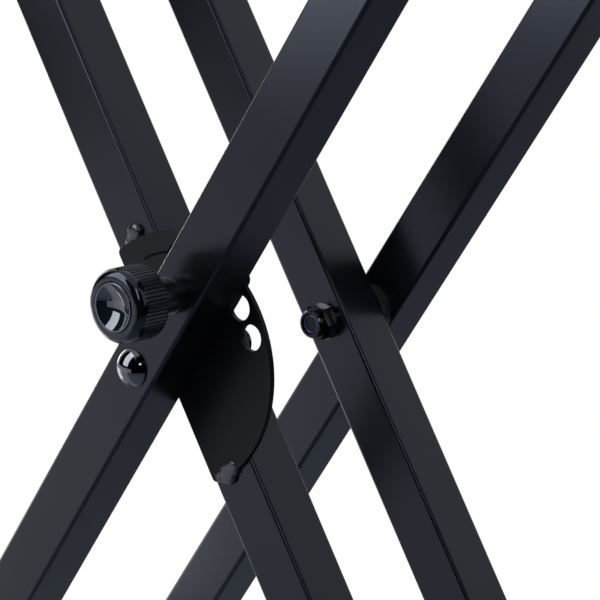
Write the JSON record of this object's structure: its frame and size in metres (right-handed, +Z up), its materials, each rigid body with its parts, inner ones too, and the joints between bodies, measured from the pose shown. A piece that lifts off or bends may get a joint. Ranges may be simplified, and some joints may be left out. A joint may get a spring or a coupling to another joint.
{
  "type": "folding keyboard stand",
  "caption": "Folding double-X keyboard stand of square steel tube, with rubber feet and arm grips, a drilled locking disc and a spring plunger with a ridged pull knob.",
  "frame": {"origin": "on the floor, under the middle of the pivot line", "axes": "+X across the stand towards the upper end of the outer legs, +Y along the pivot line from the knob side to the rear, +Z up"},
  "size_m": [0.597, 0.408, 0.88],
  "materials": {
    "powder_coat": "satin black powder coat",
    "plate_coat": "satin black paint, neutral in tone",
    "gloss_black_steel": "gloss black finish on turned steel",
    "zinc_steel": "bright zinc plate",
    "spring_steel": "drawn spring wire",
    "rubber": "matte black moulded rubber",
    "knob_plastic": "satin black moulded plastic",
    "cap_plastic": "gloss black moulded plastic",
    "insert_nylon": "blue nylon",
    "bearing_nylon": "black nylon"
  },
  "bodies": {
    "inner_frame": {"inner_leg_front": "powder_coat", "inner_leg_rear": "powder_coat", "inner_foot_tube": "powder_coat", "inner_arm_tube": "powder_coat", "inner_foot_boot_front": "rubber", "inner_foot_boot_rear": "rubber", "inner_arm_grip_front": "rubber", "inner_arm_grip_rear": "rubber", "locking_disc": "plate_coat", "disc_welds": "plate_coat", "front_pivot_bush": "bearing_nylon", "rear_pivot_bush": "bearing_nylon"},
    "outer_frame": {"outer_leg_front": "powder_coat", "outer_leg_rear": "powder_coat", "outer_foot_tube": "powder_coat", "outer_arm_tube": "powder_coat", "outer_foot_boot_front": "rubber", "outer_foot_boot_rear": "rubber", "outer_arm_grip_front": "rubber", "outer_arm_grip_rear": "rubber", "stiffening_plate": "plate_coat", "front_pivot_bolt": "gloss_black_steel", "rear_pivot_bolt": "gloss_black_steel", "front_nut_washer": "gloss_black_steel", "rear_nut_washer": "gloss_black_steel", "front_pivot_nut": "gloss_black_steel", "rear_pivot_nut": "gloss_black_steel", "front_nut_insert": "insert_nylon", "rear_nut_insert": "insert_nylon", "front_thrust_washer": "bearing_nylon", "rear_leg_spacer": "bearing_nylon", "plunger_sleeve": "gloss_black_steel", "sleeve_collar": "gloss_black_steel", "sleeve_gland": "gloss_black_steel"},
    "plunger": {"spring_seat": "zinc_steel", "plunger_spring": "spring_steel"},
    "knob": {"lock_pin": "zinc_steel", "knob": "knob_plastic", "knob_cap": "cap_plastic", "knob_nut": "zinc_steel"}
  },
  "joints": [
    {"name": "frame_fold", "type": "hinge", "parent": "inner_frame", "child": "outer_frame", "pos_m": [0, 0, 0.4404], "axis": [0, -1, 0], "range_deg": [-35.5, 60.9]},
    {"name": "plunger_pull", "type": "slide", "parent": "outer_frame", "child": "plunger", "axis": [0, -1, 0], "range_m": [0, 0.007], "stiffness_N_per_m": 1000, "springref_m": -0.01, "deforming": ["plunger_spring"]},
    {"name": "knob_turn", "type": "hinge", "parent": "plunger", "child": "knob", "pos_m": [0.02828, -0.13685, 0.48345], "axis": [0, -1, 0], "continuous": true}
  ]
}
